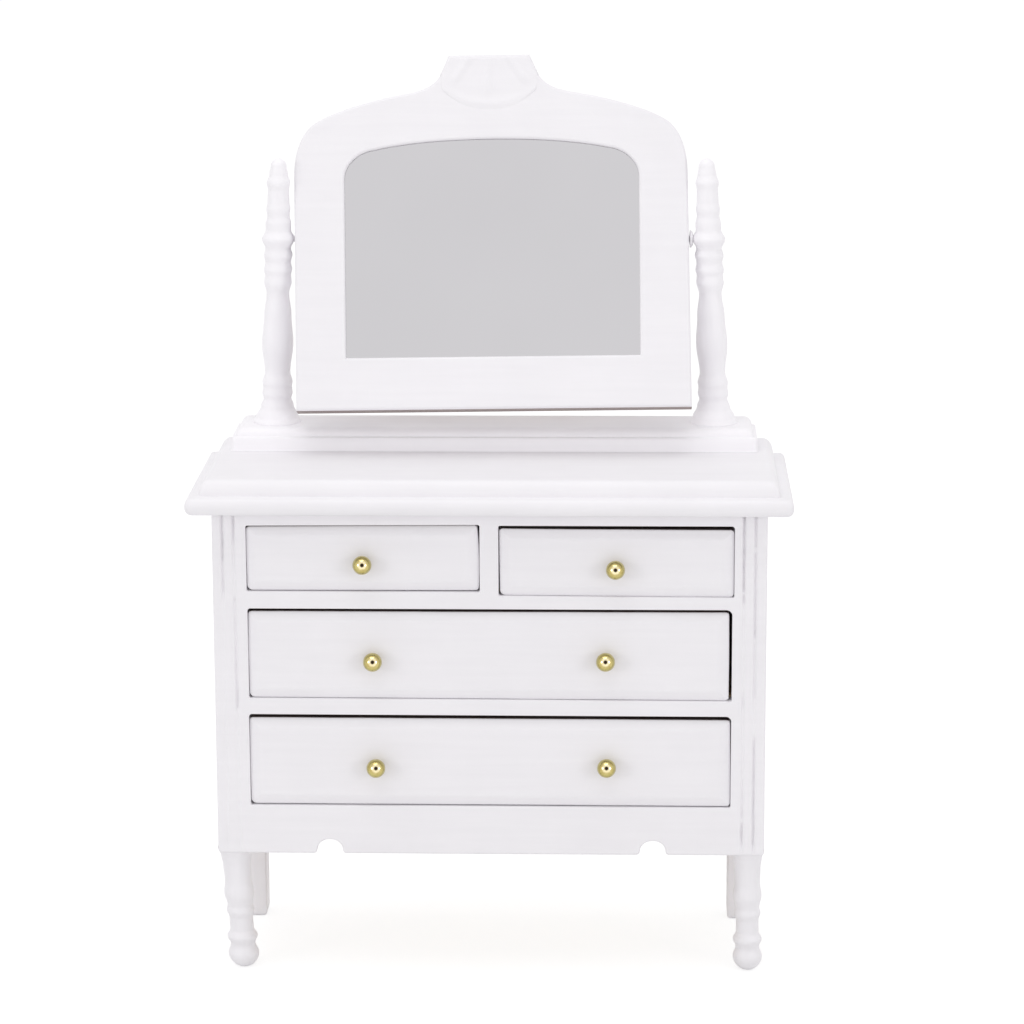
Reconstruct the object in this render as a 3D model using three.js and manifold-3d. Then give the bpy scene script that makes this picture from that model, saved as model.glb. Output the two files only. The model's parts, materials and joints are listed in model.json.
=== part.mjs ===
// A 1:12 dressing table: a painted chest of four drawers on turned legs, with a tilting mirror
// held between two turned posts. Millimetres, +Z up, the front faces -Y. The origin lies on the
// floor, under the middle of the whole piece's width and depth.
import * as THREE from 'three';
import { mergeVertices } from 'three/addons/utils/BufferGeometryUtils.js';
import Module from 'manifold-3d';

const wasm = await Module();
wasm.setup();

// ---------------------------------------------------------------- driving dimensions

// Clearances
const glueGap = 0.02; // between boards glued face to face
const seatGap = 0.2; // round a pane, a panel or an ornament seated in the tilted mirror
const dowelGap = 0.1; // round a glued dowel, and past its end
const pinGap = 0.06; // round a pivot pin that turns in its post
const drawerSideGap = 0.3;
const drawerTopGap = 0.7;
const drawerRunGap = 0.15; // under a drawer
const drawerRearGap = 1.4; // behind a closed drawer

// Top board
const topWidth = 102;
const topDepth = 38.5;
const topEdge = { lip: 2.9, bulge: 0.9, step: 2.2, rise: 2.7, round: 1.8 };
const topSideOverhang = 4.15;
const topFrontOverhang = 4;

// Heights of the front, from the floor up
const legHeight = 21.7;
const apronHeight = 8.8;
const bottomOpening = 16;
const middleRailHeight = 2.9;
const middleOpening = 15.8;
const upperRailHeight = 2.9;
const topOpening = 11.5;
const topRailHeight = 2.4;

// Case
const frontPostWidth = 5.75;
const frontPostDepth = 6.4;
const reedGrooves = [2, 3.9]; // from the outer edge of a front post
const grooveHalfWidth = 0.28;
const grooveDepth = 0.35;
const rearPostSize = 5.5;
const footChamfer = 0.4;
const panelThickness = 2.4;
const backThickness = 1.6;
const railThickness = 3;
const shelfThickness = 1.5;
const partitionThickness = 3;
const guideHeight = 3;
const notchSpacing = 55.4; // of the apron's two notches
const notchRadius = 2.2;
const notchHeight = 2.5;
const notchFlare = 0.6;

// Turned front legs
const legSetBack = 3.5; // axis behind the face of the case
const dowelRadius = 1.25;
const legDowel = 4;

// Drawers
const drawerFrontThickness = 3;
const drawerBevel = { width: 1.7, depth: 0.5 };
const drawerSideThickness = 1.5;
const drawerBottomThickness = 1;
const drawerBoxInset = 0.3; // of a box's sides, from the ends of its front
const drawerSideDrop = 1.2; // of a box's sides, below the top of its front
const drawerBottomRise = 0.6;
const knobSpacing = 38.7; // of the two knobs on a long drawer
const knobDrop = 0.55; // below the middle of a drawer's front
const knob = {
  ball: 1.45,
  proud: 3.5,
  collar: 1,
  collarHeight: 0.5,
  neck: 0.6,
  shank: 0.45,
  shankLength: 2.3,
};

// Plinth, mirror posts and pins
const plinthEdge = { lip: 2, bulge: 0.3, step: 0.7, rise: 1.9, round: 1.5 };
const plinthFrontLedge = 3.1; // from the posts' feet to the plinth's lip
const plinthEndLedge = 3.45;
const plinthDowel = 3;
const postToRear = 5.2; // post axis, in front of the rear of the top
const postLean = THREE.MathUtils.degToRad(1.55); // towards the mirror
const postFootRadius = 4.05;
const postBeadRadius = 2.9;
const pinRadius = 0.5;
const pinSeat = 2.2; // of a pin in its post
const pinGrip = 3; // of a pin in the mirror frame
const pinCollar = { radius: 1.3, thickness: 0.18 }; // between frame and post

// Mirror; its heights are from the pivot, along the frame
const mirrorTilt = THREE.MathUtils.degToRad(18); // leaning back
const frameHalfWidth = 34.2;
const frameDrop = 29.85;
const archRise = 25.35; // where the arch turns up into the crest
const shoulderDrop = 14.3; // of the straight sides' top, below archRise
const crestHeight = 6.7; // above archRise
const crestHalfWidth = 7.3;
const frameThickness = 4.5;
const frameLip = 1.2; // of the frame in front of the glass
const stileWidth = 8.7;
const bottomRailHeight = 9.1;
const archRailHeight = 7.95; // above the window
const windowCorner = 5;
const windowArch = 1.9;
const rabbetWidth = 1.8;
const glassThickness = 0.9;
const postGap = 0.3; // frame to post
const plinthClearance = 2.45; // under the upright frame
const shellDrop = 8.2;
const shellHalfWidth = 8.5;
const shellThickness = 0.9;
const shellInset = 0.3; // of its top corners, inside the crest's

// Facets of round pieces
const turnedFacets = 20;
const smallFacets = 12;

// ---------------------------------------------------------------- worked out from these

const topThickness = topEdge.lip + topEdge.rise;
const plinthThickness = plinthEdge.lip + plinthEdge.rise;
const caseHalfWidth = topWidth / 2 - topSideOverhang;
const caseFront = topFrontOverhang;
const caseRear = topDepth;
const openingHalfWidth = caseHalfWidth - frontPostWidth;
const frontPostRear = caseFront + frontPostDepth;
const rearPostFront = caseRear - rearPostSize;
const panelInner = caseHalfWidth - panelThickness;
const backFront = caseRear - backThickness;
const railRear = caseFront + railThickness;

const bottomOpeningZ = legHeight + apronHeight;
const middleRailZ = bottomOpeningZ + bottomOpening;
const middleOpeningZ = middleRailZ + middleRailHeight;
const upperRailZ = middleOpeningZ + middleOpening;
const topOpeningZ = upperRailZ + upperRailHeight;
const topRailZ = topOpeningZ + topOpening;
const topBoardZ = topRailZ + topRailHeight;
const plinthZ = topBoardZ + topThickness;
const plinthTopZ = plinthZ + plinthThickness;

const legX = caseHalfWidth - frontPostWidth / 2;
const legY = caseFront + legSetBack;
const pivotRise = frameDrop + plinthClearance;
const leanSlope = Math.tan(postLean);
const beadX = frameHalfWidth + postGap + postBeadRadius; // of a post's axis at the pivot
const postX = beadX + leanSlope * pivotRise; // and at its foot
const postY = topDepth - postToRear;
const pivotZ = plinthTopZ + pivotRise;
const crestRise = archRise + crestHeight;
const plinthHalfWidth = postX + postFootRadius + plinthEndLedge;
const plinthFront = postY - postFootRadius - plinthFrontLedge;

const frontMost = Math.min(0, caseFront - knob.proud);
const crestBack = crestRise * Math.sin(mirrorTilt) + (frameThickness / 2) * Math.cos(mirrorTilt);
const rearMost = Math.max(caseRear, postY + crestBack);
const depthCentre = (frontMost + rearMost) / 2;

const sides = [{ name: 'left', sign: -1 }, { name: 'right', sign: 1 }];

// ---------------------------------------------------------------- materials

const paint = () => new THREE.MeshStandardMaterial({ color: 0xf1eff2, roughness: 0.45, metalness: 0 });
const bareWood = () => new THREE.MeshStandardMaterial({ color: 0xdcc39a, roughness: 0.75, metalness: 0 });
const silvering = () => new THREE.MeshStandardMaterial({ color: 0xd0ced1, roughness: 0.05, metalness: 1 });
const brass = () => new THREE.MeshStandardMaterial({ color: 0xd9b24a, roughness: 0.2, metalness: 1 });

// ---------------------------------------------------------------- shape helpers

const model = new THREE.Group();

// Adds one named piece to a group.
function add(group, name, geometry, material) {
  const mesh = new THREE.Mesh(geometry, material);
  mesh.name = name;
  group.add(mesh);
  return mesh;
}

// A plain board between two limits on each axis.
function board([x0, x1], [y0, y1], [z0, z1]) {
  const geometry = new THREE.BoxGeometry(x1 - x0, y1 - y0, z1 - z0);
  return geometry.translate((x0 + x1) / 2, (y0 + y1) / 2, (z0 + z1) / 2);
}

// The same limits on either side of the middle: sign -1 gives the left side's.
const mirrored = (sign, inner, outer) => (sign < 0 ? [-outer, -inner] : [inner, outer]);

// A closed outline through straight corners.
const outline = (corners) => new THREE.Shape(corners.map(([x, y]) => new THREE.Vector2(x, y)));

// An outline in X and Y, drawn up to a thickness in Z.
function slab(shape, thickness, curveSegments = 6) {
  return new THREE.ExtrudeGeometry(shape, { depth: thickness, bevelEnabled: false, curveSegments });
}

// An outline in X and Z that starts at a front plane and goes back by a thickness.
function upright(shape, front, thickness, curveSegments = 6) {
  return slab(shape, thickness, curveSegments).rotateX(Math.PI / 2).translate(0, front + thickness, 0);
}

// A block that steps in level by level: each level is a rectangle at its own height.
function steppedBlock(levels) {
  const corners = levels.flatMap(({ x, y, z }) => [
    x[0], y[0], z, x[1], y[0], z, x[1], y[1], z, x[0], y[1], z,
  ]);
  const faces = [0, 2, 1, 0, 3, 2];
  for (let ring = 4; ring < 4 * levels.length; ring += 4) {
    for (let side = 0; side < 4; side += 1) {
      const low = ring - 4 + side;
      const lowNext = ring - 4 + ((side + 1) % 4);
      faces.push(low, lowNext, lowNext + 4, low, lowNext + 4, low + 4);
    }
  }
  const last = 4 * (levels.length - 1);
  faces.push(last, last + 1, last + 2, last, last + 2, last + 3);
  const geometry = new THREE.BufferGeometry();
  geometry.setAttribute('position', new THREE.Float32BufferAttribute(corners, 3));
  geometry.setIndex(faces);
  return geometry;
}

// A board with a moulded edge on its front and sides and a flat rear: a rounded lip below,
// a shallow step, and a quarter round up to the flat top.
function mouldedBoard(halfWidth, [front, rear], base, edge) {
  const profile = [];
  const lipSteps = 4;
  for (let i = 0; i <= lipSteps; i += 1) {
    const swell = Math.sin((Math.PI * i) / lipSteps);
    profile.push([edge.bulge * (1 - swell), edge.lip * 0.9 * (i / lipSteps)]);
  }
  const roundSteps = 4;
  for (let i = 0; i <= roundSteps; i += 1) {
    const turn = ((Math.PI / 2) * i) / roundSteps;
    profile.push([
      edge.step + edge.round * (1 - Math.cos(turn)),
      edge.lip + edge.rise * Math.sin(turn),
    ]);
  }
  return steppedBlock(profile.map(([inset, height]) => ({
    x: [inset - halfWidth, halfWidth - inset],
    y: [front + inset, rear],
    z: base + height,
  })));
}

// The outline of a turned piece, from [height, radius] turns: the radius swells and narrows
// smoothly from each to the next.
function turnedOutline(turns, stepsPerTurn = 3) {
  const points = [];
  turns.forEach(([height, radius], index) => {
    const [lastHeight, lastRadius] = turns[Math.max(index - 1, 0)];
    const steps = index > 0 ? stepsPerTurn : 1;
    for (let i = 1; i <= steps; i += 1) {
      const ease = (1 - Math.cos((Math.PI * i) / steps)) / 2;
      points.push(new THREE.Vector2(
        THREE.MathUtils.lerp(lastRadius, radius, ease),
        THREE.MathUtils.lerp(lastHeight, height, i / steps),
      ));
    }
  });
  return points;
}

// A solid turned about Z from an outline that runs upwards; its ends are closed on the axis.
function turned(points, facets = turnedFacets) {
  const closed = [new THREE.Vector2(0, points[0].y), ...points, new THREE.Vector2(0, points.at(-1).y)];
  return new THREE.LatheGeometry(closed, facets).rotateX(Math.PI / 2);
}

// A round bar about Z between two heights.
const bar = (radius, low, high, facets = smallFacets) => turned(
  [new THREE.Vector2(radius, low), new THREE.Vector2(radius, high)],
  facets,
);

function toSolid(geometry) {
  const bare = geometry.clone();
  bare.deleteAttribute('normal');
  bare.deleteAttribute('uv');
  const merged = mergeVertices(bare, 1e-5);
  const index = Array.from(merged.index.array);
  const triVerts = [];
  for (let i = 0; i < index.length; i += 3) {
    const [a, b, c] = index.slice(i, i + 3);
    if (a !== b && b !== c && c !== a) triVerts.push(a, b, c);
  }
  return new wasm.Manifold(new wasm.Mesh({
    numProp: 3,
    vertProperties: merged.attributes.position.array,
    triVerts: new Uint32Array(triVerts),
  }));
}

// A geometry with other geometries cut out of it.
function cut(geometry, ...tools) {
  const solid = tools.reduce((left, tool) => left.subtract(toSolid(tool)), toSolid(geometry));
  const mesh = solid.getMesh();
  const result = new THREE.BufferGeometry();
  result.setAttribute('position', new THREE.BufferAttribute(mesh.vertProperties, 3));
  result.setIndex(new THREE.BufferAttribute(mesh.triVerts, 1));
  return result;
}

// ---------------------------------------------------------------- case

function addTopBoard() {
  const geometry = mouldedBoard(topWidth / 2, [0, topDepth], topBoardZ, topEdge);
  add(model, 'top_board', geometry, paint());
}

function addSidePanel({ name, sign }) {
  const geometry = board(
    mirrored(sign, panelInner, caseHalfWidth),
    [frontPostRear + glueGap, rearPostFront - glueGap],
    [legHeight, topBoardZ - glueGap],
  );
  add(model, `side_panel_${name}`, geometry, paint());
}

function addBackPanel() {
  const halfWidth = caseHalfWidth - rearPostSize - glueGap;
  const geometry = board([-halfWidth, halfWidth], [backFront, caseRear], [legHeight, topBoardZ - glueGap]);
  add(model, 'back_panel', geometry, paint());
}

// A front post has a reeded face and a hole in its foot for the leg's dowel.
function addFrontPost({ name, sign }) {
  const grooves = reedGrooves.flatMap((inset) => [
    [caseHalfWidth - inset + grooveHalfWidth, caseFront],
    [caseHalfWidth - inset, caseFront + grooveDepth],
    [caseHalfWidth - inset - grooveHalfWidth, caseFront],
  ]);
  const corners = [
    [caseHalfWidth, frontPostRear],
    [caseHalfWidth, caseFront],
    ...grooves,
    [openingHalfWidth, caseFront],
    [openingHalfWidth, frontPostRear],
  ].map(([x, y]) => [sign * x, y]);
  const height = topBoardZ - glueGap - legHeight;
  const post = slab(outline(corners), height).translate(0, 0, legHeight);
  const hole = bar(dowelRadius + dowelGap, legHeight - 1, legHeight + legDowel + dowelGap);
  add(model, `front_post_${name}`, cut(post, hole.translate(sign * legX, legY, 0)), paint());
}

// A rear post runs from the floor to the top board; its foot is eased.
function addRearPost({ name, sign }) {
  const [x0, x1] = mirrored(sign, caseHalfWidth - rearPostSize, caseHalfWidth);
  const level = (z, inset) => ({
    x: [x0 + inset, x1 - inset],
    y: [rearPostFront + inset, caseRear - inset],
    z,
  });
  const high = topBoardZ - glueGap;
  const geometry = steppedBlock([level(0, footChamfer), level(footChamfer, 0), level(high, 0)]);
  add(model, `rear_post_${name}`, geometry, paint());
}

function addFrontLeg({ name, sign }) {
  const ball = { centre: 2.6, radius: 2.72, reach: 3 };
  const ballPoints = [0, 0.25, 0.5, 0.75].map((share) => {
    const height = ball.centre * share;
    const drop = (ball.centre - height) / ball.reach;
    return new THREE.Vector2(ball.radius * Math.sqrt(1 - drop * drop), height);
  });
  const stem = turnedOutline([
    [ball.centre, ball.radius],
    [4.2, 2.43],
    [5.5, 2.66],
    [8.3, 2.2],
    [10.4, 2.5],
    [12, 2.38],
    [13.6, 2.58],
    [legHeight - 4.9, 2.22],
    [legHeight - glueGap, 2.9],
  ]);
  const dowel = [
    new THREE.Vector2(dowelRadius, legHeight - glueGap),
    new THREE.Vector2(dowelRadius, legHeight + legDowel),
  ];
  const mesh = add(model, `front_leg_${name}`, turned([...ballPoints, ...stem, ...dowel]), paint());
  mesh.position.set(sign * legX, legY, 0);
}

function addRail(name, low, high) {
  const halfWidth = openingHalfWidth - glueGap;
  add(model, name, board([-halfWidth, halfWidth], [caseFront, railRear], [low, high]), paint());
}

// The apron is the lowest rail; two flared half-round notches are cut in its lower edge.
function addApron() {
  const halfWidth = openingHalfWidth - glueGap;
  const shape = new THREE.Shape();
  shape.moveTo(-halfWidth, 0);
  [-notchSpacing / 2, notchSpacing / 2].forEach((centre) => {
    shape.lineTo(centre - notchRadius - notchFlare, 0);
    shape.quadraticCurveTo(centre - notchRadius, 0, centre - notchRadius, notchFlare);
    shape.absellipse(centre, notchFlare, notchRadius, notchHeight - notchFlare, Math.PI, 0, true);
    shape.quadraticCurveTo(centre + notchRadius, 0, centre + notchRadius + notchFlare, 0);
  });
  shape.lineTo(halfWidth, 0);
  shape.lineTo(halfWidth, apronHeight);
  shape.lineTo(-halfWidth, apronHeight);
  shape.closePath();
  const geometry = upright(shape, caseFront, railThickness).translate(0, 0, legHeight);
  add(model, 'apron', geometry, paint());
}

// A shelf under a drawer, notched round the four posts; its top is flush with its rail's.
function addShelf(name, top) {
  const corners = [
    [openingHalfWidth - glueGap, railRear + glueGap],
    [openingHalfWidth - glueGap, frontPostRear + glueGap],
    [panelInner - glueGap, frontPostRear + glueGap],
    [panelInner - glueGap, rearPostFront - glueGap],
    [caseHalfWidth - rearPostSize - glueGap, rearPostFront - glueGap],
    [caseHalfWidth - rearPostSize - glueGap, backFront - glueGap],
  ];
  const left = corners.map(([x, y]) => [-x, y]).reverse();
  const shape = outline([...corners, ...left]);
  add(model, name, slab(shape, shelfThickness).translate(0, 0, top - shelfThickness), bareWood());
}

// A strip that guides the side of a drawer, glued on the shelf against the side panel.
function addGuide(level, { name, sign }, shelfTop) {
  const geometry = board(
    mirrored(sign, openingHalfWidth, panelInner - glueGap),
    [frontPostRear + glueGap, rearPostFront - glueGap],
    [shelfTop + glueGap, shelfTop + guideHeight],
  );
  add(model, `guide_${level}_${name}`, geometry, bareWood());
}

// The partition between the two small drawers fits under the top rail and behind it.
function addPartition() {
  const shape = outline([
    [caseFront, topOpeningZ + glueGap],
    [backFront - glueGap, topOpeningZ + glueGap],
    [backFront - glueGap, topBoardZ - glueGap],
    [railRear + glueGap, topBoardZ - glueGap],
    [railRear + glueGap, topRailZ - glueGap],
    [caseFront, topRailZ - glueGap],
  ]);
  const geometry = slab(shape, partitionThickness).rotateX(Math.PI / 2).rotateZ(Math.PI / 2);
  add(model, 'partition', geometry.translate(-partitionThickness / 2, 0, 0), paint());
}

// ---------------------------------------------------------------- drawers

// A knob is a ball on a short neck and collar, with a shank that goes into the drawer front.
function addKnob(name, x, z) {
  const ballCentre = knob.proud - knob.ball;
  const neckTurn = -Math.acos(knob.neck / knob.ball);
  const ballSteps = 6;
  const ball = Array.from({ length: ballSteps }, (_, i) => {
    const turn = THREE.MathUtils.lerp(neckTurn, Math.PI / 2, i / ballSteps);
    return new THREE.Vector2(knob.ball * Math.cos(turn), ballCentre + knob.ball * Math.sin(turn));
  });
  const closed = [
    new THREE.Vector2(0, -knob.shankLength),
    new THREE.Vector2(knob.shank, -knob.shankLength),
    new THREE.Vector2(knob.shank, glueGap),
    new THREE.Vector2(knob.collar, glueGap),
    new THREE.Vector2(knob.collar, knob.collarHeight / 2),
    new THREE.Vector2(knob.neck, knob.collarHeight),
    ...ball,
    new THREE.Vector2(0, knob.proud),
  ];
  const geometry = new THREE.LatheGeometry(closed, smallFacets).rotateX(Math.PI);
  add(model, name, geometry, brass()).position.set(x, caseFront, z);
}

// The front has a bevelled border round a flat field, and holes for its knobs' shanks.
function drawerFront([x0, x1], [z0, z1], knobXs, knobZ) {
  const level = (inset, z) => ({ x: [x0 + inset, x1 - inset], y: [z0 + inset, z1 - inset], z });
  const block = steppedBlock([
    level(0, 0),
    level(0, drawerFrontThickness - drawerBevel.depth),
    level(drawerBevel.width, drawerFrontThickness),
  ]).rotateX(Math.PI / 2).translate(0, caseFront + drawerFrontThickness, 0);
  const holes = knobXs.map((x) => bar(knob.shank + dowelGap, -knob.shankLength - dowelGap, 1)
    .rotateX(Math.PI / 2).translate(x, caseFront, knobZ));
  return cut(block, ...holes);
}

// One drawer in the opening between two sides, on the shelf at the given height.
function addDrawer(level, [left, right], shelfTop, opening, knobs) {
  const frontX = [left + drawerSideGap, right - drawerSideGap];
  const frontZ = [shelfTop + drawerRunGap, shelfTop + opening - drawerTopGap];
  const knobZ = (frontZ[0] + frontZ[1]) / 2 - knobDrop;
  const front = drawerFront(frontX, frontZ, knobs.map((each) => each.x), knobZ);
  add(model, `drawer_${level}_front`, front, paint());

  const boxX = [frontX[0] + drawerBoxInset, frontX[1] - drawerBoxInset];
  const boxY = [caseFront + drawerFrontThickness + glueGap, backFront - drawerRearGap];
  const sideZ = [frontZ[0], frontZ[1] - drawerSideDrop];
  const innerX = [boxX[0] + drawerSideThickness, boxX[1] - drawerSideThickness];
  add(model, `drawer_${level}_side_left`, board([boxX[0], innerX[0]], boxY, sideZ), bareWood());
  add(model, `drawer_${level}_side_right`, board([innerX[1], boxX[1]], boxY, sideZ), bareWood());

  const betweenX = [innerX[0] + glueGap, innerX[1] - glueGap];
  const backY = [boxY[1] - drawerSideThickness, boxY[1]];
  const bottomZ = [sideZ[0] + drawerBottomRise, sideZ[0] + drawerBottomRise + drawerBottomThickness];
  add(model, `drawer_${level}_back`, board(betweenX, backY, sideZ), bareWood());
  const bottomY = [boxY[0], backY[0] - glueGap];
  add(model, `drawer_${level}_bottom`, board(betweenX, bottomY, bottomZ), bareWood());

  knobs.forEach((each) => addKnob(each.name, each.x, knobZ));
}

function addDrawers() {
  const halfPartition = partitionThickness / 2;
  sides.forEach(({ name, sign }) => {
    const span = mirrored(sign, halfPartition, openingHalfWidth);
    const knobs = [{ name: `knob_top_${name}`, x: (span[0] + span[1]) / 2 }];
    addDrawer(`top_${name}`, span, topOpeningZ, topOpening, knobs);
  });
  const span = [-openingHalfWidth, openingHalfWidth];
  const pair = (level) => sides.map(({ name, sign }) => ({
    name: `knob_${level}_${name}`,
    x: (sign * knobSpacing) / 2,
  }));
  addDrawer('middle', span, middleOpeningZ, middleOpening, pair('middle'));
  addDrawer('bottom', span, bottomOpeningZ, bottomOpening, pair('bottom'));
}

// ---------------------------------------------------------------- mirror stand

// Leans an upright piece that stands at Z = 0 towards the middle; its level faces stay level.
function leaned(geometry, sign) {
  return geometry.applyMatrix4(new THREE.Matrix4().makeShear(0, 0, 0, 0, -sign * leanSlope, 0));
}

function addPlinth() {
  const base = plinthZ + glueGap;
  const block = mouldedBoard(plinthHalfWidth, [plinthFront, topDepth], base, plinthEdge);
  const holes = sides.map(({ sign }) => leaned(
    bar(dowelRadius + dowelGap, -plinthDowel - dowelGap, 1),
    sign,
  ).translate(sign * postX, postY, plinthTopZ));
  add(model, 'mirror_plinth', cut(block, ...holes), paint());
}

// A post stands on the plinth in its dowel. Its vase stretches so that the bead is at the pivot.
function addMirrorPost({ name, sign }) {
  const bead = pivotRise;
  const turns = turnedOutline([
    [glueGap * 2, postFootRadius],
    [2.8, 2.95],
    [4.2, 2.53],
    [5.1, 2.72],
    [6.2, 2.61],
    [7, 2.7],
    [8.8, 2.29],
    [bead * 0.43, 2.89],
    [bead - 9.5, 2.08],
    [bead - 7.6, 2.44],
    [bead - 6.3, 2.35],
    [bead - 5.4, 2.52],
    [bead - 4.1, 2.31],
    [bead - 2.8, 2.55],
    [bead - 1.7, 2.29],
    [bead, postBeadRadius],
    [bead + 1.6, 2.27],
    [bead + 2.8, 2.27],
    [bead + 4, 2],
    [bead + 5.2, 2.12],
    [bead + 6.5, 1.96],
    [bead + 8.5, 1.88],
    [bead + 9.8, 2.07],
    [bead + 11.3, 1.68],
    [bead + 12.6, 1.46],
  ]);
  const tip = { radius: 1.46, height: 1.4 };
  const tipPoints = [1, 2, 3].map((i) => {
    const turn = ((Math.PI / 2) * i) / 4;
    return new THREE.Vector2(tip.radius * Math.cos(turn), bead + 12.6 + tip.height * Math.sin(turn));
  });
  const dowel = [
    new THREE.Vector2(dowelRadius, -plinthDowel),
    new THREE.Vector2(dowelRadius, glueGap * 2),
  ];
  const post = leaned(turned([...dowel, ...turns, ...tipPoints]), sign);
  const hole = bar(pinRadius + pinGap, 0, pinSeat + dowelGap + 1)
    .rotateY((sign * Math.PI) / 2)
    .translate(sign * (beadX - postX - postBeadRadius - 1), 0, pivotRise);
  const mesh = add(model, `mirror_post_${name}`, cut(post, hole), paint());
  mesh.position.set(sign * postX, postY, plinthTopZ);
}

// ---------------------------------------------------------------- mirror

// The outline whose right half is given: the same again on the left, in reverse.
function bothHalves(path, divisions) {
  const right = path.getPoints(divisions);
  const left = right.filter((point) => point.x > 0).map((point) => new THREE.Vector2(-point.x, point.y));
  return new THREE.Shape([...right, ...left.reverse()]);
}

// The outer outline: square below, round shoulders, a low arch, and a crest that sweeps up to a flat top.
function frameShape() {
  const shoulderFoot = archRise - shoulderDrop;
  const archEnd = { x: frameHalfWidth - 3.2, y: shoulderFoot + 9.05 };
  const sweepFoot = { x: crestHalfWidth + 7.45, y: archRise };
  const sweepTop = { x: crestHalfWidth + 1.4, y: archRise + 3.95 };
  const half = new THREE.Path();
  half.moveTo(frameHalfWidth, -frameDrop);
  half.lineTo(frameHalfWidth, shoulderFoot);
  half.bezierCurveTo(
    frameHalfWidth, shoulderFoot + 4.6,
    archEnd.x + 1.9, archEnd.y - 1.6,
    archEnd.x, archEnd.y,
  );
  half.bezierCurveTo(
    archEnd.x - 3.1, archEnd.y + 2.3,
    sweepFoot.x + 5.25, sweepFoot.y - 0.85,
    sweepFoot.x, sweepFoot.y,
  );
  half.bezierCurveTo(
    sweepFoot.x - 3.1, sweepFoot.y + 0.65,
    sweepTop.x + 1.1, sweepTop.y - 1.8,
    sweepTop.x, sweepTop.y,
  );
  half.lineTo(crestHalfWidth, crestRise);
  return bothHalves(half, 5);
}

// The window's outline, grown outwards by an offset: round upper corners and a low arch.
function windowShape(offset) {
  const halfWidth = frameHalfWidth - stileWidth + offset;
  const high = archRise - archRailHeight + offset;
  const spring = high - windowArch;
  const corner = windowCorner + offset;
  const half = new THREE.Path();
  half.moveTo(halfWidth, bottomRailHeight - frameDrop - offset);
  half.lineTo(halfWidth, spring - corner);
  half.bezierCurveTo(
    halfWidth, spring - corner / 2,
    halfWidth - corner / 2, spring - windowArch * 0.15,
    halfWidth - corner, spring,
  );
  half.quadraticCurveTo(halfWidth / 2, high, 0, high);
  return bothHalves(half, 5);
}

function addMirrorFrame(group) {
  const front = -frameThickness / 2;
  const blank = upright(frameShape(), front, frameThickness);
  const opening = upright(windowShape(0), front - 1, frameThickness + 2);
  const rabbet = upright(windowShape(rabbetWidth), front + frameLip, frameThickness);
  const pinHoles = sides.map(({ sign }) => bar(pinRadius + dowelGap, 0, pinGrip + dowelGap + 1)
    .rotateY((-sign * Math.PI) / 2)
    .translate(sign * (frameHalfWidth + 1), 0, 0));
  add(group, 'mirror_frame', cut(blank, opening, rabbet, ...pinHoles), paint());
}

function addGlassAndBacking(group) {
  const shape = windowShape(rabbetWidth - seatGap);
  const glassFront = -frameThickness / 2 + frameLip + seatGap;
  add(group, 'mirror_glass', upright(shape, glassFront, glassThickness), silvering());
  const backingFront = glassFront + glassThickness + seatGap;
  const backing = upright(shape, backingFront, frameThickness / 2 - backingFront);
  add(group, 'mirror_backing', backing, bareWood());
}

// A fan-shaped ornament on the face of the crest, with a flat top and a round lower edge.
function addCrestShell(group) {
  const low = crestRise - shellDrop;
  const half = new THREE.Path();
  half.moveTo(0, low);
  half.bezierCurveTo(3, low, shellHalfWidth - 2, low + 1.2, shellHalfWidth, low + 4);
  half.lineTo(crestHalfWidth - shellInset, crestRise - shellInset);
  const front = -frameThickness / 2 - seatGap - shellThickness;
  add(group, 'crest_shell', upright(bothHalves(half, 6), front, shellThickness), paint());
}

// A pivot pin is a peg with a collar that keeps the frame off the post.
function addPivotPin(group, { name, sign }) {
  const collarEnd = glueGap + pinCollar.thickness;
  const points = [
    [pinRadius, -pinGrip],
    [pinRadius, glueGap],
    [pinCollar.radius, glueGap],
    [pinCollar.radius, collarEnd],
    [pinRadius, collarEnd],
    [pinRadius, postGap + pinSeat],
  ].map(([radius, reach]) => new THREE.Vector2(radius, reach));
  const pin = turned(points, smallFacets).rotateY((sign * Math.PI) / 2);
  add(group, `pivot_pin_${name}`, pin.translate(sign * frameHalfWidth, 0, 0), paint());
}

function addMirror() {
  const group = new THREE.Group();
  group.position.set(0, postY, pivotZ);
  group.rotation.x = -mirrorTilt;
  addMirrorFrame(group);
  addGlassAndBacking(group);
  addCrestShell(group);
  sides.forEach((side) => addPivotPin(group, side));
  model.add(group);
}

// ---------------------------------------------------------------- assembly

addTopBoard();
addBackPanel();
sides.forEach((side) => {
  addSidePanel(side);
  addFrontPost(side);
  addRearPost(side);
  addFrontLeg(side);
});
addApron();
addRail('middle_rail', middleRailZ, middleOpeningZ);
addRail('upper_rail', upperRailZ, topOpeningZ);
addRail('top_rail', topRailZ, topBoardZ - glueGap);
addPartition();
[
  { level: 'bottom', top: bottomOpeningZ },
  { level: 'middle', top: middleOpeningZ },
  { level: 'top', top: topOpeningZ },
].forEach(({ level, top }) => {
  addShelf(`shelf_${level}`, top);
  sides.forEach((side) => addGuide(level, side, top));
});
addDrawers();
addPlinth();
sides.forEach(addMirrorPost);
addMirror();

model.position.y = -depthCentre;

export default model;
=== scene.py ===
"""The looks of the miniature dressing table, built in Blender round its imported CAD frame."""
import json
import math

import bmesh
import bpy
from mathutils import Matrix, Vector, noise
from mathutils.geometry import tessellate_polygon

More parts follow.
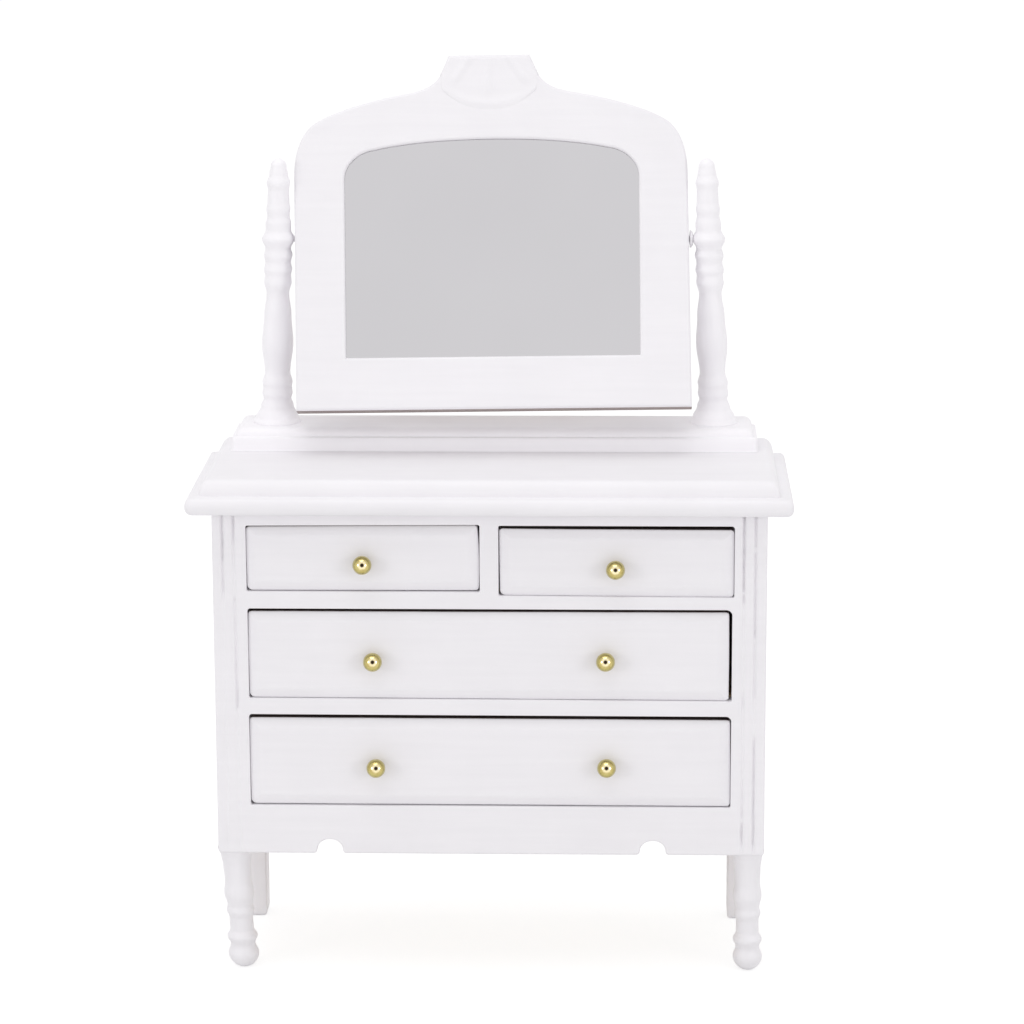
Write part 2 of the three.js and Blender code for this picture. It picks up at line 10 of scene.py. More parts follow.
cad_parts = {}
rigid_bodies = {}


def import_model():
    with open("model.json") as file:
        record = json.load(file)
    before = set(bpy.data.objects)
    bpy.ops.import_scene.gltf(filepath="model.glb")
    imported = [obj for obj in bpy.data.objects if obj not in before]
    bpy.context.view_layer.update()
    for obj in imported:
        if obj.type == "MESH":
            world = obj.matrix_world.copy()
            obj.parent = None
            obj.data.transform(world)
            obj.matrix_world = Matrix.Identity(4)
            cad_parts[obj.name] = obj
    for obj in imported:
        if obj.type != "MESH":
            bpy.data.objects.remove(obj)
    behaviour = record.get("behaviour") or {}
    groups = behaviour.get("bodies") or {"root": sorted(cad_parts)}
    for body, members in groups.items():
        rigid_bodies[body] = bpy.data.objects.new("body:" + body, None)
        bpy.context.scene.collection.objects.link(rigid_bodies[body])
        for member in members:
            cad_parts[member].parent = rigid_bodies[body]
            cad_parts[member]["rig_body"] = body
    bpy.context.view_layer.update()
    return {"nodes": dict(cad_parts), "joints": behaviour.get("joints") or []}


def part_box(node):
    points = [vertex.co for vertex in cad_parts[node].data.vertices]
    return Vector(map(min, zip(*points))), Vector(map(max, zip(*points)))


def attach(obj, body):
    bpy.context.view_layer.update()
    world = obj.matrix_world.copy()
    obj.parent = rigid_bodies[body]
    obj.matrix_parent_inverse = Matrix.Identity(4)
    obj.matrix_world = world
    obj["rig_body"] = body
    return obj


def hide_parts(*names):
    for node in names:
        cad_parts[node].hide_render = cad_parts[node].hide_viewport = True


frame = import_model()

MM = 0.001
SIDES = (("left", -1), ("right", 1))

noise.seed_set(1)  # unseeded, the waviness of the drawers' fronts would differ from run to run


# ------------------------------------------------------------------ places, from the frame

def span(node, axis):
    """Lowest and highest coordinate of a CAD node along an axis, 0 to 2."""
    low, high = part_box(node)
    return low[axis], high[axis]


TOP_X, TOP_Y, TOP_Z = (span("top_board", axis) for axis in range(3))
PLINTH_X, PLINTH_Y, PLINTH_Z = (span("mirror_plinth", axis) for axis in range(3))
CASE_HALF = span("front_post_right", 0)[1]
CASE_FRONT, RAIL_REAR = span("middle_rail", 1)
POST_REAR = span("front_post_right", 1)[1]
CASE_LOW, CASE_HIGH = span("front_post_right", 2)
OPENING_HALF = span("front_post_right", 0)[0]
TILT = next(joint for joint in frame["joints"] if joint["name"] == "mirror_tilt")
PIVOT = Vector(TILT["pos_m"])

# How the mirror hangs, in millimetres and radians: its own plane leans back, it hangs a little out
# of true between the posts, and its frame is racked a little to the left for each unit of height.
REST_TILT = math.radians(18)
HANG_TURN = math.radians(0.76)
HANG_SHIFT = -0.41
RACK = 0.0064


# ------------------------------------------------------------------ node helpers

class Nodes:
    """The node tree of a material or world, with short ways to add and join nodes."""

    def __init__(self, owner, output="ShaderNodeOutputMaterial"):
        self.owner = owner
        self.owner.use_nodes = True
        self.tree = self.owner.node_tree
        self.tree.nodes.clear()
        self.output = self.add(output)

    def add(self, kind, values=None, **settings):
        """A node with values in its sockets, by name, and its other settings."""
        node = self.tree.nodes.new(kind)
        for key, value in settings.items():
            setattr(node, key, value)
        for socket, value in (values or {}).items():
            node.inputs[socket].default_value = value
        return node

    def link(self, source, target):
        self.tree.links.new(source, target)

    def surface(self, colour, roughness, normal=None, metallic=0.0, specular=0.5):
        """The finished material, from other nodes' outputs and two plain numbers."""
        shader = self.add(
            "ShaderNodeBsdfPrincipled", {"Metallic": metallic, "Specular IOR Level": specular})
        self.link(colour, shader.inputs["Base Color"])
        self.link(roughness, shader.inputs["Roughness"])
        if normal is not None:
            self.link(normal, shader.inputs["Normal"])
        self.link(shader.outputs[0], self.output.inputs["Surface"])
        return self.owner

    def background(self, lighting, seen):
        """A shader that only the camera and reflections see, and one for all other rays."""
        path = self.add("ShaderNodeLightPath")
        sees = path.outputs["Is Camera Ray"]
        for kind in ("Is Glossy Ray", "Is Transmission Ray"):
            most = self.add("ShaderNodeMath", operation="MAXIMUM")
            self.link(sees, most.inputs[0])
            self.link(path.outputs[kind], most.inputs[1])
            sees = most.outputs[0]
        choose = self.add("ShaderNodeMixShader")
        for source, socket in zip((sees, lighting.outputs[0], seen.outputs[0]), choose.inputs):
            self.link(source, socket)
        self.link(choose.outputs[0], self.output.inputs["Surface"])

    def coordinates(self, scale):
        """The piece's own coordinates, in metres, stretched by a scale per axis."""
        place = self.add("ShaderNodeTexCoord")
        mapping = self.add("ShaderNodeMapping", {"Scale": scale})
        self.link(place.outputs["Object"], mapping.inputs["Vector"])
        return mapping.outputs["Vector"]

    def noise(self, scale, detail, roughness=0.5, distortion=0.0):
        """Soft noise, 0 to 1, whose features repeat so many times a metre along each axis."""
        node = self.add("ShaderNodeTexNoise", {
            "Scale": 1.0, "Detail": detail, "Roughness": roughness, "Distortion": distortion})
        self.link(self.coordinates(scale), node.inputs["Vector"])
        return node.outputs["Fac"]

    def remap(self, value, source, target):
        """A value taken from one (low, high) range to another, and held within it."""
        node = self.add("ShaderNodeMapRange", {
            "From Min": source[0], "From Max": source[1], "To Min": target[0], "To Max": target[1]})
        self.link(value, node.inputs["Value"])
        return node.outputs["Result"]

    def mix(self, factor, first, second, blend="MIX"):
        """Two colours mixed; each is a colour or another node's output."""
        node = self.add("ShaderNodeMix", data_type="RGBA", blend_type=blend)
        for value, index in ((factor, 0), (first, 6), (second, 7)):
            socket = node.inputs[index]
            if isinstance(value, bpy.types.NodeSocket):
                self.link(value, socket)
            elif isinstance(value, tuple):
                socket.default_value = (*value, 1.0)
            else:
                socket.default_value = value
        return node.outputs[2]

    def ramp(self, value, stops):
        """A colour that runs through stops, each a position and a colour."""
        node = self.add("ShaderNodeValToRGB")
        self.link(value, node.inputs["Fac"])
        elements = node.color_ramp.elements
        while len(elements) < len(stops):
            elements.new(0.5)
        for element, (position, colour) in zip(elements, stops):
            element.position = position
            element.color = (*colour, 1.0)
        return node.outputs["Color"]

    def bumps(self, *layers):
        """Height layers stacked into one normal; each is (height output, distance in metres)."""
        normal = None
        for height, distance in layers:
            node = self.add("ShaderNodeBump", {"Strength": 1.0, "Distance": distance})
            self.link(height, node.inputs["Height"])
            if normal is not None:
                self.link(normal, node.inputs["Normal"])
            normal = node.outputs["Normal"]
        return normal


# ------------------------------------------------------------------ materials

def white_paint(name, along, brighter=1.0):
    """Sprayed satin paint on sanded wood, whose grain shows faintly along one axis, 0 to 2.
    Its colour can be made brighter by a factor: painted light for parts that lie in shade."""
    n = Nodes(bpy.data.materials.new(name))
    stretch = [900.0, 900.0, 900.0]
    stretch[along] = 45.0
    grain = n.noise(tuple(stretch), detail=4.0, roughness=0.6)
    cloud = n.noise((90.0, 90.0, 90.0), detail=2.0)
    peel = n.noise((3500.0, 3500.0, 3500.0), detail=2.0)
    colours = (0.888, 0.872, 0.898), (0.872, 0.856, 0.882), (0.82, 0.803, 0.832)
    white, worn, shaded = (tuple(c * brighter for c in colour) for colour in colours)
    clean = n.mix(n.remap(cloud, (0.35, 0.65), (0.0, 1.0)), white, worn)
    grained = n.mix(n.remap(grain, (0.35, 0.75), (0.0, 0.3)), clean, shaded)
    relief = n.bumps((grain, 0.02 * MM), (peel, 0.006 * MM), (cloud, 0.06 * MM))
    return n.surface(grained, n.remap(cloud, (0.3, 0.7), (0.40, 0.52)), relief, specular=0.3)


def bare_wood(name, along, pale=(0.78, 0.62, 0.42), dark=(0.62, 0.45, 0.27)):
    """Sanded pale wood with fine straight grain along one axis."""
    n = Nodes(bpy.data.materials.new(name))
    rings = [420.0, 420.0, 420.0]
    rings[along] = 14.0
    pores = [2600.0, 2600.0, 2600.0]
    pores[along] = 90.0
    ring = n.noise(tuple(rings), detail=4.0, roughness=0.55, distortion=0.6)
    pore = n.noise(tuple(pores), detail=2.0)
    body = n.mix(n.remap(ring, (0.35, 0.65), (0.0, 1.0)), pale, dark)
    streaked = n.mix(n.remap(pore, (0.55, 0.75), (0.0, 0.5)), body, tuple(c * 0.7 for c in dark))
    relief = n.bumps((ring, 0.03 * MM), (pore, 0.03 * MM))
    return n.surface(streaked, n.remap(ring, (0.3, 0.7), (0.58, 0.75)), relief, specular=0.3)


def polished_brass():
    """Bright brass whose colour paints its reflections: dark where it faces the viewer, pale round
    that as a painted highlight, olive towards the rim.
    """
    n = Nodes(bpy.data.materials.new("brass"))
    haze = n.noise((1400.0, 1400.0, 1400.0), detail=4.0)
    facing = n.add("ShaderNodeLayerWeight", {"Blend": 0.5})
    # Painted reflection: the ramp over facing paints the camera's dark image, bright highlights and
    # the rim.
    rings = n.ramp(facing.outputs["Facing"], (
        (0.0, (0.03, 0.02, 0.01)), (0.012, (0.05, 0.03, 0.015)), (0.032, (1.0, 0.90, 0.60)),
        (0.07, (0.98, 0.88, 0.56)), (0.15, (0.62, 0.52, 0.22)), (0.42, (0.50, 0.45, 0.17)),
        (0.75, (0.68, 0.62, 0.36)), (1.0, (0.80, 0.76, 0.58)),
    ))
    dulled = n.remap(haze, (0.35, 0.7), (0.0, 0.35))
    colour = n.mix(dulled, rings, (0.55, 0.40, 0.12), blend="MULTIPLY")
    scratches = n.bumps((n.noise((700.0, 700.0, 9000.0), detail=3.0), 0.003 * MM))
    return n.surface(colour, n.remap(haze, (0.3, 0.7), (0.08, 0.2)), scratches, metallic=1.0)


def silvered_glass():
    """A grey mirror with a faint cloud in its silver and a little dust."""
    n = Nodes(bpy.data.materials.new("silvered_glass"))
    cloud = n.noise((45.0, 45.0, 45.0), detail=2.0)
    dust = n.noise((2200.0, 2200.0, 2200.0), detail=2.0)
    clouded = n.remap(cloud, (0.3, 0.7), (0.0, 1.0))
    colour = n.mix(clouded, (0.634, 0.622, 0.642), (0.622, 0.610, 0.630))
    return n.surface(colour, n.remap(dust, (0.6, 0.8), (0.02, 0.10)), metallic=1.0)


PAINT = [white_paint(f"white_paint_{axis}", i) for i, axis in enumerate("xyz")]
# Brighter copies of the paint: painted light that lifts the plinth, rear posts and mirror posts out
# of the shade they lie in.
BRIGHTENED_PAINT = [white_paint(f"lightened_white_paint_{axis}", i, 1.07) for i, axis in enumerate("xyz")]
WOOD = [bare_wood(f"bare_wood_{axis}", i) for i, axis in enumerate("xyz")]
CARD = bare_wood("backing_board", 0, pale=(0.36, 0.21, 0.12), dark=(0.26, 0.14, 0.08))
# Unpainted wood, darkened: bare edge and painted shade in one colour, for the mirror frame's
# underside.
BARE_AND_SHADED_EDGE = bare_wood("raw_edge_and_painted_shade", 0, pale=(0.40, 0.34, 0.32), dark=(0.30, 0.25, 0.24))
# Near-black colour on faces deep in the gaps round the drawers: painted shade.
GAP_SHADE = bare_wood("painted_gap_shade", 0, pale=(0.16, 0.115, 0.105), dark=(0.10, 0.07, 0.065))
BRASS = polished_brass()
GLASS = silvered_glass()


# ------------------------------------------------------------------ mesh helpers

def mesh_piece(name, vertices, faces, material):
    """A smoothly shaded piece with its faces turned outwards."""
    mesh = bpy.data.meshes.new(name)
    mesh.from_pydata([tuple(v) for v in vertices], [], faces)
    mesh.validate()
    work = bmesh.new()
    work.from_mesh(mesh)
    bmesh.ops.recalc_face_normals(work, faces=work.faces)
    work.to_mesh(mesh)
    work.free()
    mesh.polygons.foreach_set("use_smooth", [True] * len(mesh.polygons))
    piece = bpy.data.objects.new(name, mesh)
    bpy.context.scene.collection.objects.link(piece)
    mesh.materials.append(material)
    return piece


def stand_in(piece, body, slot, *nodes):
    """The piece rides on a body and is shown instead of CAD nodes. The slot argument is not used.
    """
    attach(piece, body)
    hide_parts(*nodes)


def sharpen(piece, degrees):
    """Smooth shading that breaks at edges sharper than an angle."""
    mesh = piece.data
    work = bmesh.new()
    work.from_mesh(mesh)
    limit = math.radians(degrees)
    for edge in work.edges:
        edge.smooth = len(edge.link_faces) != 2 or edge.calc_face_angle(0.0) < limit
    work.to_mesh(mesh)
    work.free()


def bare_or_shaded_where(piece, material, bare_or_shaded):
    """Gives a second material to chosen faces: bare wood, or a dark colour that paints the shade in
    deep gaps.
    """
    piece.data.materials.append(material)
    for face in piece.data.polygons:
        face.material_index = 1 if bare_or_shaded(face) else 0


def flatten_shading(piece):
    """Lets the large flat faces keep their own shading beside the eased edges."""
    weighted = piece.modifiers.new("flat faces", "WEIGHTED_NORMAL")
    weighted.keep_sharp = True
    weighted.weight = 100


def ring_faces(rings, count):
    """Quads between successive closed rings of vertices, each with the same count."""
    faces = []
    for r in range(rings - 1):
        for i in range(count):
            j = (i + 1) % count
            below, above = r * count, (r + 1) * count
            faces.append((below + i, below + j, above + j, above + i))
    return faces


def stacked(name, rings, material):
    """A closed piece through a stack of rings with equal vertex counts, capped at both ends."""
    count = len(rings[0])
    vertices = [v for ring in rings for v in ring]
    faces = ring_faces(len(rings), count)
    faces.append(tuple(range(count)))
    faces.append(tuple((len(rings) - 1) * count + i for i in range(count)))
    return mesh_piece(name, vertices, faces, material)


def turned(name, profile, material, foot, head=None, turn=None, segments=72):
    """A piece turned from (radius, height) points. Its axis runs up from the foot, and leans
    so that it passes over the head; or it stands square and is turned by a matrix."""
    lean = Vector((0, 0, 0))
    if head is not None:
        lean = (head - foot) / (head.z - foot.z)
        lean.z = 0
    turn = turn or Matrix.Identity(3)
    rings = []
    for radius, height in profile:
        ring = []
        for i in range(segments):
            angle = 2 * math.pi * i / segments
            point = Vector((radius * math.cos(angle), radius * math.sin(angle), height))
            ring.append(foot + turn @ (point + lean * height))
        rings.append(ring)
    return stacked(name, rings, material)


def smooth_turning(turns, steps=6):
    """Outline of a turned piece in metres, from (height, radius) turns in millimetres: it swells
    and narrows smoothly from each to the next."""
    points = []
    for (z0, r0), (z1, r1) in zip(turns, turns[1:]):
        for i in range(steps):
            share = (1 - math.cos(math.pi * i / steps)) / 2
            points.append((MM * (r0 + (r1 - r0) * share), MM * (z0 + (z1 - z0) * i / steps)))
    points.append((MM * turns[-1][1], MM * turns[-1][0]))
    return points


def offset_loop(loop, distance):
    """A closed loop moved to the left of its run by a distance, with mitred corners."""
    count = len(loop)
    moved = []
    for i, (x, y) in enumerate(loop):
        ax, ay = loop[i - 1]
        bx, by = loop[(i + 1) % count]
        before = Vector((x - ax, y - ay)).normalized()
        after = Vector((bx - x, by - y)).normalized()
        normal = Vector((-(before.y + after.y), before.x + after.x))
        if normal.length < 1e-9:
            normal = Vector((-before.y, before.x))
        normal.normalize()
        cosine = max(normal.dot(Vector((-before.y, before.x))), 0.5)
        moved.append((x + normal.x * distance / cosine, y + normal.y * distance / cosine))
    return moved


def rectangle(x0, x1, y0, y1):
    """Its corners, counter-clockwise from the lower left."""
    return [(x0, y0), (x1, y0), (x1, y1), (x0, y1)]


def corner_arc(corner, back, ahead, radius, steps=6):
    """Points round a corner, from the side behind it to the one ahead; both are unit vectors."""
    arc = []
    for k in range(steps + 1):
        angle = 0.5 * math.pi * k / steps
        cut = back * (1 - math.sin(angle)) + ahead * (1 - math.cos(angle))
        arc.append(corner + radius * cut)
    return arc


def rounded_loop(corners, radius, steps=6):
    """A closed loop round straight sides; its corners are rounded by a radius or a list of them."""
    loop = []
    for i, corner in enumerate(corners):
        round_by = radius[i] if isinstance(radius, list) else radius
        here = Vector(corner)
        back = (Vector(corners[i - 1]) - here).normalized()
        ahead = (Vector(corners[(i + 1) % len(corners)]) - here).normalized()
        loop += [(point.x, point.y) for point in corner_arc(here, back, ahead, round_by, steps)]
    return loop


def eased_layers(loop, outward, front, ease, steps=4):
    """(loop, depth) layers of a rounded front edge; outward is 1 round a board, -1 round a hole."""
    layers = []
    for i in range(steps + 1):
        angle = 0.5 * math.pi * i / steps
        moved = offset_loop(loop, outward * ease * (1 - math.cos(angle)))
        layers.append((moved, front + ease * (1 - math.sin(angle))))
    return layers


def soften(node, material, width=0.18 * MM, segments=3):
    """A CAD board with eased edges and a finish."""
    board = frame["nodes"][node]
    board.data.materials.clear()
    board.data.materials.append(material)
    weld = board.modifiers.new("weld", "WELD")
    weld.merge_threshold = 1e-6
    ease = board.modifiers.new("eased edges", "BEVEL")
    ease.width = width
    ease.segments = segments
    ease.limit_method = "ANGLE"
    ease.angle_limit = math.radians(40)
    ease.harden_normals = True
    board.data.polygons.foreach_set("use_smooth", [True] * len(board.data.polygons))


# ------------------------------------------------------------------ moulded boards

def board_ring(half_x, front, rear, height, radius, steps=6):
    """A rectangle seen from above with round front corners, that starts at the rear left."""
    ring = [Vector((-half_x, rear, height))]
    for sign, start in ((-1, math.pi), (1, 1.5 * math.pi)):
        centre = Vector((sign * (half_x - radius), front + radius, height))
        for i in range(steps + 1):
            angle = start + 0.5 * math.pi * i / steps
            ring.append(centre + radius * Vector((math.cos(angle), math.sin(angle), 0)))
    ring.append(Vector((half_x, rear, height)))
    return ring


def moulding(thickness, lip, bulge, step, run):
    """Edge profile as (inset, height) points in metres: a round lip, a shallow step and a quarter
    round."""
    ledge = lip + 0.10 * MM
    points = []
    for i in range(13):
        turn = math.pi * i / 12 - math.pi / 2
        points.append((bulge * (1 - math.cos(turn)), lip * 0.5 * (1 + math.sin(turn))))
    points.append((step - 0.10 * MM, lip + 0.03 * MM))
    points.append((step, ledge))
    rise = thickness - lip
    for i in range(1, 13):
        turn = 0.5 * math.pi * i / 12
        height = ledge + (rise - 0.10 * MM) * math.sin(turn)
        points.append((step + run * (1 - math.cos(turn)), height))
    return points


def moulded_board(name, x, y, z, profile, material):
    """A board with a moulded front and ends; its back edge is flat."""
    half_x = (x[1] - x[0]) / 2
    rings = []
    for inset, height in profile:
        radius = max(0.9 * MM - inset * 0.12, 0.4 * MM)
        rings.append(board_ring(half_x - inset, y[0] + inset, y[1], z[0] + height, radius))
    piece = stacked(name, rings, material)
    sharpen(piece, 38)
    return piece


def add_top():
    thickness = TOP_Z[1] - TOP_Z[0]
    profile = moulding(thickness, lip=2.9 * MM, bulge=0.9 * MM, step=2.2 * MM, run=1.8 * MM)
    piece = moulded_board("top_board_look", TOP_X, TOP_Y, TOP_Z, profile, PAINT[0])
    stand_in(piece, "case", "white_paint", "top_board")


def add_plinth():
    """Only the upper half of its lip is round: the lower is straight and flared at its foot by the
    paint that has run down on to the top."""
    thickness = PLINTH_Z[1] - PLINTH_Z[0]
    profile = moulding(thickness, lip=2.42 * MM, bulge=0.25 * MM, step=0.75 * MM, run=1.5 * MM)
    profile[:7] = [(-0.12 * MM, 0.0), (-0.04 * MM, 0.06 * MM), (0.0, 0.2 * MM)]
    # Brightened paint: painted light on the plinth's top, which lies in the mirror's shade.
    piece = moulded_board(
        "mirror_plinth_look", PLINTH_X, PLINTH_Y, PLINTH_Z, profile, BRIGHTENED_PAINT[0])
    stand_in(piece, "case", "white_paint", "mirror_plinth")


# ------------------------------------------------------------------ face frame

def opening_limits():
    """(left, right, low, high) of each drawer's opening, in metres."""
    levels = {
        "bottom": (span("apron", 2)[1], span("middle_rail", 2)[0]),
        "middle": (span("middle_rail", 2)[1], span("upper_rail", 2)[0]),
        "top": (span("upper_rail", 2)[1], span("top_rail", 2)[0]),
    }
    between = span("partition", 0)
    return {
        "bottom": (-OPENING_HALF, OPENING_HALF, *levels["bottom"]),
        "middle": (-OPENING_HALF, OPENING_HALF, *levels["middle"]),
        "top_left": (-OPENING_HALF, between[0], *levels["top"]),
        "top_right": (between[1], OPENING_HALF, *levels["top"]),
    }


OPENINGS = opening_limits()

# Where the corners of each opening stand off their places in the CAD, in millimetres to the right
# and up: lower left, lower right, upper right, upper left. Then how round the last two are.
TRIMS = {
    "top_left": ((-0.05, 0.0), (-0.17, 0.0), (-0.17, 0.14), (-0.05, -0.1), 0.3, 0.3),
    "top_right": ((0.0, -0.64), (0.15, -0.86), (0.15, 0.0), (0.0, 0.0), 0.5, 0.3),
    "middle": ((0.0, -0.06), (-0.13, -0.32), (-0.13, -0.1), (0.0, -0.1), 1.0, 0.5),
    "bottom": ((-0.1, -0.2), (-0.17, -0.29), (-0.17, -0.1), (-0.1, 0.0), 0.9, 0.5),
}


def opening_corners(level):
    """The opening's corners as (x, z), each moved by its trim."""
    square = rectangle(*OPENINGS[level])
    return [(x + dx * MM, z + dz * MM) for (x, z), (dx, dz) in zip(square, TRIMS[level][:4])]


# Grooves in the posts' faces: distance from the post's outer edge at the top and at the foot, then
# (height, depth) where paint fills the groove more or less, all in millimetres. The heights run
# from 0 at the groove's foot to GROOVE_TOP.
GROOVE_TOP = 60
GROOVES = {
    "left_outer": (1.72, 1.8, (
        (0, 0.05), (43, 0.05), (45, 0.16), (46.5, 0.45), (50.5, 0.3), (51.5, 0.5), (60, 0.5),
    )),
    "left_inner": (3.62, 3.8, (
        (0, 0.08), (2, 0.1), (7, 0.05), (8, 0.2), (9, 0.06), (25, 0.08), (25.6, 0.42), (30, 0.35),
        (44, 0.22), (44.6, 0.42), (45.3, 0.1), (47, 0.16), (54, 0.25), (56, 0.5), (60, 0.5),
    )),
    "right_inner": (4.02, 3.98, (
        (0, 0.1), (2, 0.5), (5, 0.48), (5.4, 0.12), (6.3, 0.35), (12, 0.22), (25, 0.16), (26, 0.34),
        (28, 0.3), (29, 0.12), (44, 0.18), (45, 0.6), (46, 0.2), (46.6, 0.6), (60, 0.6),
    )),
    "right_outer": (2.08, 2.0, (
        (0, 0.2), (2, 0.5), (18, 0.42), (20, 0.4), (21, 0.06), (27, 0.16), (28, 0.34), (33, 0.28),
        (37, 0.32), (37.5, 0.05), (38.5, 0.45), (53, 0.4), (53.6, 0.06), (54.4, 0.4), (60, 0.5),
    )),
}


def apron_edge():
    """Points along the foot of the case from left to right, past two flared round notches."""
    notch, reach, rise, flare = 27.7 * MM, 2.2 * MM, 2.5 * MM, 0.6 * MM
    bend = [0.5 * math.pi * i / 6 for i in range(7)]
    arch = [math.pi * (1 - i / 18) for i in range(1, 18)]
    points = []
    for centre in (-notch, notch):
        left, right = centre - reach, centre + reach
        for turn in bend:
            height = CASE_LOW + flare * (1 - math.cos(turn))
            points.append((left - flare * (1 - math.sin(turn)), height))
        for turn in arch:
            height = CASE_LOW + flare + (rise - flare) * math.sin(turn)
            points.append((centre + reach * math.cos(turn), height))
        for turn in bend:
            height = CASE_LOW + flare * (1 - math.sin(turn))
            points.append((right + flare * (1 - math.cos(turn)), height))
    return points


def groove_path(side, sign, key, steps=150):
    """(x, z, depth) down the middle of a groove, from its foot to its top."""
    at_top, at_foot, fills = GROOVES[f"{side}_{key}"]
    low, high = CASE_LOW + 0.5 * MM, CASE_HIGH - 0.1 * MM
    path = []
    for i in range(steps + 1):
        share = i / steps
        rise = GROOVE_TOP * share
        after = next(k for k, (height, _) in enumerate(fills) if height >= rise)
        height1, depth1 = fills[after]
        height0, depth0 = fills[max(after - 1, 0)]
        blend = (rise - height0) / (height1 - height0) if height1 > height0 else 0.0
        depth = depth0 + (depth1 - depth0) * blend
        wander = 0.05 * noise.noise(Vector((rise * 0.35, sign * 7.1, at_top)))
        patch = 1 + 0.3 * noise.noise(Vector((rise * 1.7, sign * 3.3, at_top)))
        inset = at_foot + (at_top - at_foot) * share + wander
        x = sign * (CASE_HALF - inset * MM)
        path.append((x, low + (high - low) * share, depth * patch * MM))
    return path


def cut_groove(path, half_width):
    """Rings of a groove from its lip down to its floor, and the floor's faces, counted from its
    first vertex."""
    layers = []
    for width, dip in ((1.7, 0.0), (1.3, 0.08), (0.85, 0.5), (0.4, 1.0)):
        ring = []
        for offset, run in ((-half_width * width, path), (half_width * width, reversed(path))):
            ring += [Vector((x + offset, CASE_FRONT + depth * dip, z)) for x, z, depth in run]
        layers.append(ring)
    count = 2 * len(path)
    first = (len(layers) - 1) * count
    last = first + count - 1
    floor = [(first + i, first + i + 1, last - 1 - i, last - i) for i in range(len(path) - 1)]
    return layers, floor


def face_frame_loops():
    """(loop, 1 or -1) of the frame's outline and of its openings. The left side leans out at the
    foot, and the right one stands in a little."""
    left_foot, right_side = -CASE_HALF - 0.12 * MM, CASE_HALF - 0.1 * MM
    corners = [(left_foot, CASE_LOW), (right_side, CASE_LOW), (right_side, CASE_HIGH),
               (-CASE_HALF, CASE_HIGH)]
    outer = rounded_loop(corners, 0.5 * MM)
    first_corner = len(outer) // len(corners)
    outer[first_corner:first_corner] = apron_edge()
    loops = [(outer, 1)]
    for level, trim in TRIMS.items():
        radii = [r * MM for r in (0.25, 0.25, trim[4], trim[5])]
        loops.append((rounded_loop(opening_corners(level), radii), -1))
    return loops


def face_frame_mesh():
    """Vertices and faces: each loop's edge, each groove, then the flat front and back between."""
    vertices, faces, front_rings, rear_rings = [], [], [], []
    for loop, outward in face_frame_loops():
        ease = (0.3 if outward > 0 else 0.13) * MM
        layers = [(loop, RAIL_REAR)] + eased_layers(loop, outward, CASE_FRONT, ease)
        base, count = len(vertices), len(loop)
        vertices += [Vector((x, depth, z)) for ring, depth in layers for x, z in ring]
        faces += [tuple(base + i for i in face) for face in ring_faces(len(layers), count)]
        rear_rings.append(range(base, base + count))
        front_rings.append(range(len(vertices) - count, len(vertices)))
    for side, sign in SIDES:
        for key in ("outer", "inner"):
            layers, floor = cut_groove(groove_path(side, sign, key), 0.25 * MM)
            base, count = len(vertices), len(layers[0])
            vertices += [point for layer in layers for point in layer]
            walls = ring_faces(len(layers), count)
            faces += [tuple(base + i for i in face) for face in walls + floor]
            front_rings.append(range(base, base + count))
    for rings in (front_rings, rear_rings):
        index = [i for ring in rings for i in ring]
        flat = [[Vector((vertices[i].x, vertices[i].z, 0)) for i in ring] for ring in rings]
        faces += [tuple(index[k] for k in triangle) for triangle in tessellate_polygon(flat)]
    return vertices, faces


def add_face_frame():
    """Posts, rails and apron under one coat of paint; the openings' upper edges take a dark colour,
    painted shade of the gaps.
    """
    piece = mesh_piece("face_frame_look", *face_frame_mesh(), PAINT[0])
    side, apron = CASE_HALF - 2 * MM, CASE_LOW + 4 * MM
    # Painted shade: the undersides over the openings take the dark gap colour.
    bare_or_shaded_where(piece, GAP_SHADE, lambda face: (
        face.normal.z < -0.7 and abs(face.center.x) < side and face.center.z > apron))
    sharpen(piece, 50)
    flatten_shading(piece)
    stand_in(piece, "case", "white_paint", "front_post_left", "front_post_right", "top_rail",
             "upper_rail", "middle_rail", "apron", "partition")


def add_block(name, x, y, z, material):
    """A squared length of wood that stands upright, with its foot eased."""
    eased = ((0.35 * MM, z[0]), (0.1 * MM, z[0] + 0.12 * MM), (0.0, z[0] + 0.4 * MM), (0.0, z[1]))
    rings = []
    for inset, height in eased:
        corners = rectangle(x[0] + inset, x[1] - inset, y[0], y[1] - inset)
        rings.append([Vector((*corner, height)) for corner in corners])
    piece = stacked(name, rings, material)
    sharpen(piece, 30)
    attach(piece, "case")


def add_blocks_behind():
    """What stands behind the face frame: the rest of each front post, and the partition."""
    depth, height = (RAIL_REAR, POST_REAR), (CASE_LOW, CASE_HIGH)
    for side, sign in SIDES:
        x = sorted((sign * OPENING_HALF, sign * CASE_HALF))
        add_block(f"front_post_{side}_rear", x, depth, height, PAINT[2])
    depth, height = (RAIL_REAR, span("partition", 1)[1]), (span("partition", 2)[0], CASE_HIGH)
    add_block("partition_look", span("partition", 0), depth, height, PAINT[1])


def finish_case_boards():
    """The CAD boards that need only eased edges and a finish."""
    soften("back_panel", PAINT[2], width=0.15 * MM)
    for side, _ in SIDES:
        soften(f"side_panel_{side}", PAINT[2], width=0.15 * MM)
        for level in ("top", "middle", "bottom"):
            soften(f"guide_{level}_{side}", WOOD[1])
    for level in ("top", "middle", "bottom"):
        soften(f"shelf_{level}", WOOD[0])


# ------------------------------------------------------------------ legs

# How each front leg stands, in millimetres: its head's and its foot's distance to the right of
# their place in the CAD. Then its girth as a share of the full one.
LEG_STANCE = {"left": (-0.35, 0.79, 1.0), "right": (0.0, 0.25, 0.955)}


